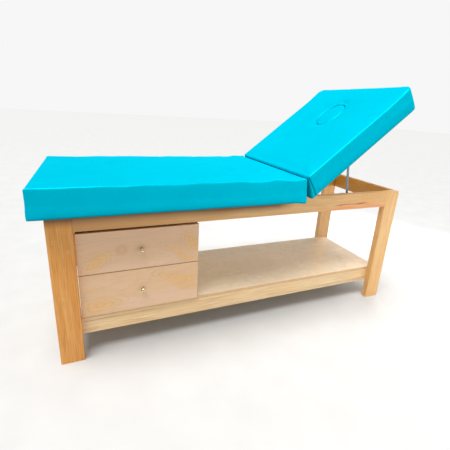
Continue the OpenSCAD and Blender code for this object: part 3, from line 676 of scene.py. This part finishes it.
def backrest_pad(material):
    """The backrest's cushion, shaped in its own flat frame and then raised into place."""
    low = np.array([PAD_START, -PAD_HALF, 0.0])
    high = np.array([PAD_END, PAD_HALF, PAD_T])
    xs, ys, zs = pad_grid(low, high)
    flat, faces, index = box_grid(xs, ys, zs)
    i_a, i_b = (int(np.argmin(abs(xs - (HOLE_X + s * 0.135)))) for s in (-1, 1))
    j_a, j_b = (int(np.argmin(abs(ys - s * 0.115))) for s in (-1, 1))
    flat, faces = cut_oval(flat, faces, index, (i_a, i_b, j_a, j_b), len(zs) - 1)
    bottom = flat[:, 2] < 1e-6
    in_hole = np.hypot((flat[:, 0] - HOLE_X) / HOLE_A, flat[:, 1] / HOLE_B) < 1.25
    lining = in_hole & (flat[:, 2] < high[2] - 1e-6)
    belly, inset = stuffed_sides(flat, low, high)
    belly[in_hole] = 0
    belly[:, 0] *= 2.4 * ease(flat[:, 0], 0.1, 0.3)
    # The seam along the hinge end's fold is drawn in
    fold = near(flat[:, 0], PAD_START, 2.5 * MM) * near(np.abs(flat[:, 1]), PAD_HALF, 2.5 * MM)
    points = rounded(flat, low, high, (3 * MM, 4.5 * MM, 3 * MM), (8 * MM, 4.5 * MM, 8 * MM))
    points[lining] = flat[lining]
    points[:, 1] -= 4.5 * MM * fold * np.sign(flat[:, 1])
    round_head_corners(points)
    near_end = 1 - ease(points[:, 0], PAD_START, PAD_START + 75 * MM)
    points[:, 0] += (back_end(flat) - PAD_START) * near_end
    points += belly
    points[:, 0] += (9 * flat[:, 2] / PAD_T + 3) * MM * near(flat[:, 0], PAD_END, 60 * MM)
    points[:, 2] += 6 * MM * near(flat[:, 0], PAD_END, 90 * MM) * flat[:, 2] / PAD_T
    points[bottom & (inset > HEM) & ~in_hole, 2] += 4 * MM
    upper = ease(flat[:, 2], BOARD_T, BOARD_T + 20 * MM) * np.where(in_hole, 0.15, 1.0)
    upper[lining] = 0
    swell = 0.5 * inflate(points, faces, upper, 0.004)
    swell[:, 0] *= 1 - 0.8 * near_end
    swell[:, 2] *= 1 - 0.6 * near_end
    points += swell
    wave = ripple(flat * np.array([1, 0.5, 0.5]), 8, 5)
    edge = near(flat[:, 2], PAD_T, 28 * MM)
    side = near(np.abs(flat[:, 1]), PAD_HALF, 22 * MM)
    points[:, 2] += 1.3 * MM * wave * side * edge
    # Slack gathered in the foot's corners, and a dent past the plug's head-side tip
    gather = near(flat[:, 2], 0, 16 * MM) * near(np.abs(flat[:, 1]), PAD_HALF - 9 * MM, 14 * MM)
    points[:, 0] -= 5 * MM * gather * near(flat[:, 0], PAD_START, 14 * MM)
    points[:, 2] -= 4 * MM * gather * near(flat[:, 0], PAD_START, 22 * MM)
    tip = np.hypot(flat[:, 0] - HOLE_X - HOLE_A - 14 * MM, flat[:, 1] + 4 * MM)
    points[:, 2] -= 7 * MM * near(tip, 0, 20 * MM) * (flat[:, 2] > PAD_T - 1 * MM)
    points[bottom & (inset <= HEM), 2] -= 0.8 * MM
    turn = np.array(BACK_TO_ROW)
    points = points @ turn[:3, :3].T + turn[:3, 3]
    pad = make_object("backrest_pad", points, faces, material)
    subdivide(pad)
    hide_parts("backrest_cover", "backrest_foam")
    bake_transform(pad)


STAPLE_CROWN, STAPLE_PRONG = (11, 1.2, 0.7), (1.2, 1.2, 2.4)
STAPLE_IN = 21 * MM
STAPLE_PITCH = 45 * MM


def staples(name, spots, body):
    """Staples through the turned-under hem: each spot is a place, a direction along the wire and
    the way out of the board."""
    mesh = bmesh.new()
    for place, along, out in spots:
        side = along.cross(out)
        turn = Matrix((along, side, out)).transposed().to_4x4()
        for size, at in ((STAPLE_CROWN, 0), (STAPLE_PRONG, -5), (STAPLE_PRONG, 5)):
            shape = Matrix.Diagonal((*[c * MM for c in size], 1))
            drop = 0.35 * MM if at == 0 else -0.6 * MM
            where = Matrix.Translation(place + along * at * MM + out * drop)
            bmesh.ops.create_cube(mesh, size=1, matrix=where @ turn @ shape)
    data = bpy.data.meshes.new(name)
    mesh.to_mesh(data)
    mesh.free()
    piece = bpy.data.objects.new(name, data)
    bpy.context.collection.objects.link(piece)
    data.materials.append(bpy.data.materials["zinc_plate"])
    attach(piece, body)


def hem_staples():
    """A row of staples along the hems that can be seen: under the foot pad's overhangs, and round
    the raised backrest's underside."""
    low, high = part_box("foot_pad_cover")
    x_axis, y_axis, down = Vector((1, 0, 0)), Vector((0, 1, 0)), Vector((0, 0, -1))
    line = low.z - 1.6 * MM
    spots = []
    count = int((high.x - low.x - 2 * HEM) / STAPLE_PITCH)
    for n in range(count + 1):
        x = low.x + HEM + n * (high.x - low.x - 2 * HEM) / count
        spots += [(Vector((x, s * (high.y - STAPLE_IN), line)), x_axis, down) for s in (-1, 1)]
    staples("foot_pad_staples", spots, "frame")
    turn = BACK_TO_ROW.to_3x3()
    out = turn @ down
    line = -0.8 * MM
    fold = 60 * MM
    spots = []
    length = PAD_END - 2 * HEM - fold
    for n in range(int(length / STAPLE_PITCH) + 1):
        x = fold + HEM + n * STAPLE_PITCH
        for s in (-1, 1):
            place = BACK_TO_ROW @ Vector((x, s * (PAD_HALF - STAPLE_IN), line))
            spots.append((place, turn @ x_axis, out))
    head_end = 12
    for n in range(head_end + 1):
        y = (n / head_end - 0.5) * 2 * (PAD_HALF - 1.6 * HEM)
        spots.append((BACK_TO_ROW @ Vector((PAD_END - STAPLE_IN, y, line)), y_axis, out))
    staples("backrest_staples", spots, "backrest")


def cut_oval(flat, faces, index, patch, top):
    """Replaces a patch of the top and bottom grids by rings that close in on the oval face hole,
    rolls the cover over the hole's rim and lines it down to the underside."""
    i_a, i_b, j_a, j_b = patch
    loop = [(i, j_a) for i in range(i_a, i_b)] + [(i_b, j) for j in range(j_a, j_b)]
    loop += [(i, j_b) for i in range(i_b, i_a, -1)] + [(i_a, j) for j in range(j_b, j_a, -1)]
    removed = {index[(i, j, k)] for k in (0, top)
               for i in range(i_a, i_b + 1) for j in range(j_a, j_b + 1)}
    kept = [f for f in faces if not all(v in removed for v in f)]
    points = [tuple(p) for p in flat]
    outer = [np.array(points[index[(i, j, top)]]) for i, j in loop]
    angles = [math.atan2(p[1] / HOLE_B, (p[0] - HOLE_X) / HOLE_A) for p in outer]

    def ring(grow, z, share=1.0):
        """Ring of points on the oval grown by grow, or part of the way there from the patch's edge."""
        made = []
        for p, angle in zip(outer, angles):
            o = oval_point(angle, HOLE_A + grow, HOLE_B + grow)
            x = p[0] + (HOLE_X + o.x - p[0]) * share
            y = p[1] + (o.y - p[1]) * share
            made.append(len(points))
            points.append((x, y, z))
        return made

    t = flat[:, 2].max()
    rows = [[index[(i, j, top)] for i, j in loop]]
    rows += [ring(7 * MM, t, share) for share in (0.35, 0.62, 0.82, 0.94, 1.0)]
    rows += [ring(grow * MM, t - drop * MM) for grow, drop in ((4.2, 0.9), (1.6, 3.0), (0.3, 6.5))]
    rows += [ring(0, z) for z in np.linspace(t - 12 * MM, 3 * MM, 6)]
    rows += [ring(grow * MM, z * MM) for grow, z in ((0.5, -0.6), (4, -1.2), (16, -1.2), (18, 3))]
    rows += [ring(18 * MM, 4 * MM, 0.5), [index[(i, j, 0)] for i, j in loop]]
    count = len(loop)
    for a, b in zip(rows, rows[1:]):
        kept += [[a[n], a[(n + 1) % count], b[(n + 1) % count], b[n]] for n in range(count)]
    used = sorted({v for f in kept for v in f})
    renumber = {v: n for n, v in enumerate(used)}
    return np.array([points[v] for v in used]), [[renumber[v] for v in f] for f in kept]


def face_plug(material):
    """The plug's cushion: an oval lid with a crowned top, rolled edge and straight sides."""
    gap = 0.9 * MM
    count = 72
    t = PAD_T - 2.5 * MM
    crown = 3.6 * MM
    points = [(HOLE_X, 0, t + crown)]
    rings = []

    def ring(a, b, z):
        rings.append(list(range(len(points), len(points) + count)))
        for n in range(count):
            o = oval_point(2 * math.pi * n / count, a, b)
            pucker = 0.35 * MM * math.sin(n * 2 * math.pi * 18 / count) if z > t - 14 * MM else 0
            points.append((HOLE_X + o.x, o.y, z + pucker * (a / HOLE_A) ** 6))

    a, b = HOLE_A - gap, HOLE_B - gap
    for share in (0.25, 0.5, 0.7, 0.84, 0.93):
        ring(a * share, b * share, t + crown * (1 - share ** 3))
    edge_and_wall = ((3.2, 0.3), (1.3, 2.0), (0.3, 5.0), (0, 9.0), (0, 30), (0, 60), (0, 90), (0.4, 96.5))
    for shrink, drop in edge_and_wall:
        ring(a - shrink * MM, b - shrink * MM, t - drop * MM)
    for shrink, z in ((4, -1.0), (14, -1.0), (16, 3.0)):
        ring(a - shrink * MM, b - shrink * MM, z * MM)
    faces = [[0, rings[0][n], rings[0][(n + 1) % count]] for n in range(count)]
    for first, second in zip(rings, rings[1:]):
        for n in range(count):
            after = (n + 1) % count
            faces.append([first[n], second[n], second[after], first[after]])
    faces.append(rings[-1][::-1])
    points = [tuple(BACK_TO_ROW @ Vector(p)) for p in points]
    plug = make_object("face_plug", points, faces, material)
    subdivide(plug)
    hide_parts("face_plug_cover", "face_plug_foam")
    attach(plug, "face_plug")


# ---------------------------------------------------------------- materials on the CAD pieces

def dress(node, material, bevel=0.0):
    """Gives a CAD node its material, and its sharp arrises a small worn radius."""
    piece = frame["nodes"][node]
    piece.data.materials.clear()
    piece.data.materials.append(material)
    if bevel:
        weld = piece.modifiers.new("weld", "WELD")
        weld.merge_threshold = 0.00001
        worn = piece.modifiers.new("arris", "BEVEL")
        worn.width = bevel
        worn.segments = 2
        worn.limit_method = "ANGLE"
        worn.angle_limit = math.radians(40)


def dress_wood():
    """Materials of every wooden piece."""
    # Painted shadow under the foot pad's hem: the wood is dark down to this height, and as far along as the
    # pad goes
    hem = (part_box("apron_front")[0].z + 48 * MM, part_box("foot_pad_board")[1].x)
    # Scuffs on the foremost leg
    low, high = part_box("leg_foot_front")
    marks = [(low.x + 0.3 * (high.x - low.x), low.y, z) for z in (0.535, 0.30)]
    marks.append((low.x + 0.72 * (high.x - low.x), low.y, 0.485))
    for n, node in enumerate(("leg_foot_front", "leg_foot_back", "leg_head_front", "leg_head_back")):
        # The head legs' lighter, yellower tones are partly their own and partly painted light, where the head
        # end is lit
        tones = YELLOW if node.startswith("leg_head") else HONEY
        dress(node, wood(node + "_wood", tones, "z", 11 + n, ring=5.5, contrast=0.5,
                         heart=(0.30, 0.06), hem=hem, scuffs=marks if n == 0 else ()), 1.6 * MM)
    low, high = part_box("apron_front")
    salmon, rust, orange = (0.80, 0.31, 0.12), (0.30, 0.05, 0.015), (0.62, 0.22, 0.07)
    streaks = [(salmon, low.z + 10 * MM, 14 * MM, 0.42, high.x),
               (rust, low.z + 28 * MM, 3.2 * MM, 0.47, 0.61),
               (orange, low.z + 51 * MM, 1.6 * MM, 0.615, 0.68),
               (orange, low.z + 70 * MM, 1.6 * MM, 0.35, 0.42)]
    # The aprons get painted shade, darkest at the foot end, where the pad shades them
    for n, node in enumerate(("apron_front", "apron_back")):
        dress(node, wood(node + "_wood", TAN, "x", 21 + n, ring=7, contrast=0.4,
                         heart=(0.35, -0.52), pores=0.22, dim=(-0.78, 0.0, 1.0), hem=hem,
                         streaks=streaks if n == 0 else ()), 1.4 * MM)
    for n, node in enumerate(("end_rail_foot", "end_rail_head")):
        tones = AMBER if node == "end_rail_head" else TAN
        dress(node, wood(node + "_wood", tones, "y", 25 + n, ring=6, heart=(0.2, -0.45)), 1.4 * MM)
    for n, node in enumerate(("cross_rail_hinge", "cross_rail_middle")):
        dress(node, wood(node + "_wood", TAN, "y", 31 + n, ring=6, heart=(0.2, -0.5)), 1.2 * MM)
    for n, node in enumerate(("lower_rail_front", "lower_rail_back")):
        dress(node, wood(node + "_wood", RAIL, "x", 41 + n, ring=6.5, contrast=0.6, heart=(0.262, -0.10),
                         lean=(0.03, 0.02), wander=0.045), 1.2 * MM)
    for n, node in enumerate(("lower_rail_foot", "lower_rail_head")):
        dress(node, wood(node + "_wood", RAIL, "y", 45 + n, ring=6, heart=(0.2, -0.08)), 1.2 * MM)
    for n, node in enumerate(("rack_front", "rack_back")):
        dress(node, wood(node + "_wood", AMBER, "x", 51 + n, ring=5, heart=(0.2, -0.5)), 0.8 * MM)
    dress("shelf_panel", plywood("shelf_plywood", SHELF, "x", 61, swirl=0.8, contrast=0.35, rough=0.26,
                                 coat=0.6, rim=(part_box("shelf_panel")[0].y, RAIL[2])), 1.0 * MM)
    for n, node in enumerate(("cabinet_side_foot", "cabinet_side_head", "cabinet_back")):
        # The cabinet sides' front edges get a near-black rim: painted shadow in the gaps beside the drawer
        # fronts
        rim = () if node == "cabinet_back" else (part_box(node)[0].y, (0.09, 0.055, 0.03))
        dress(node, plywood(node + "_plywood", PALE, "z", 65 + n, contrast=0.3, rim=rim), 0.6 * MM)
    for n, drawer in enumerate(("upper", "lower")):
        dress_drawer(drawer, 71 + 10 * n)
    for n, node in enumerate(("foot_pad_board", "backrest_board", "face_plug_board")):
        dress(node, plywood(node + "_plywood", PALE, "x", 91 + n, contrast=0.4))


# Figure of each drawer front's veneer, as shares of the front's length and height
FIGURE = {
    "upper": {"knots": [(0.34, 0.53, 30)],
              "patches": [(0.95, 0.52, 52, 26, -0.9, 1.0), (0.86, 0.24, 75, 17, -0.6, 1.0),
                          (0.14, 0.24, 48, 30, 0.7, 0.9), (0.20, 0.42, 60, 14, 0.35, 0.6)]},
    "lower": {"knots": [],
              "patches": [(0.84, 0.58, 95, 20, -0.35, 1.0), (0.90, 0.34, 70, 14, -0.35, 0.8),
                          (0.15, 0.24, 75, 30, 0.1, 1.0), (0.08, 0.66, 40, 20, 0.2, 0.6)]},
}


def dress_drawer(drawer, seed):
    """A drawer's front with its figure, and its plain box."""
    low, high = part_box(drawer + "_drawer_front")

    def spot(u, v):
        return (low.x + u * (high.x - low.x), low.y, low.z + v * (high.z - low.z))

    figure = FIGURE[drawer]
    knots = [(spot(u, v), size * MM) for u, v, size in figure["knots"]]
    patches = [(spot(u, v), long * MM, short * MM, turn, strength)
               for u, v, long, short, turn, strength in figure["patches"]]
    dress(drawer + "_drawer_front", plywood(drawer + "_front_plywood", VENEER, "x", seed, swirl=1.1,
                                            contrast=0.14, knots=knots, patches=patches), 1.2 * MM)
    for k, part in enumerate(("side_foot", "side_head", "back", "bottom")):
        grain = "x" if part in ("back", "bottom") else "y"
        dress(f"{drawer}_drawer_{part}", plywood(f"{drawer}_{part}_plywood", PALE, grain, seed + 1 + k,
                                                 contrast=0.3), 0.5 * MM)


def dress_metal():
    """Materials of the bail, the screws, hinges and runners, and the knobs."""
    bar = steel("bail_steel", (0.33, 0.40, 0.50), 0.42, 500)
    zinc = steel("zinc_plate", (0.55, 0.56, 0.57), 0.33)
    for node in ("support_bail", "bail_brackets"):
        dress(node, bar)
    for node in ("lower_rail_screws", "hinge_leaves_fixed", "hinge_leaves_moving", "hinge_pins",
                 "hinge_screws_fixed", "hinge_screws_moving", "bail_bracket_screws", "upper_knob_screw",
                 "lower_knob_screw", "upper_runners_fixed", "upper_runners_moving", "lower_runners_fixed",
                 "lower_runners_moving"):
        dress(node, zinc)
    ball = brass()
    for node in ("upper_knob", "lower_knob"):
        dress(node, ball)


# ---------------------------------------------------------------- the scene

make_camera()
make_light()
make_floor()
dress_wood()
dress_metal()
turquoise = vinyl("turquoise_vinyl", (0.0, 0.53, 0.72), (0.0, 0.40, 0.56))
foot_pad(turquoise)
backrest_pad(turquoise)
face_plug(turquoise)
hem_staples()
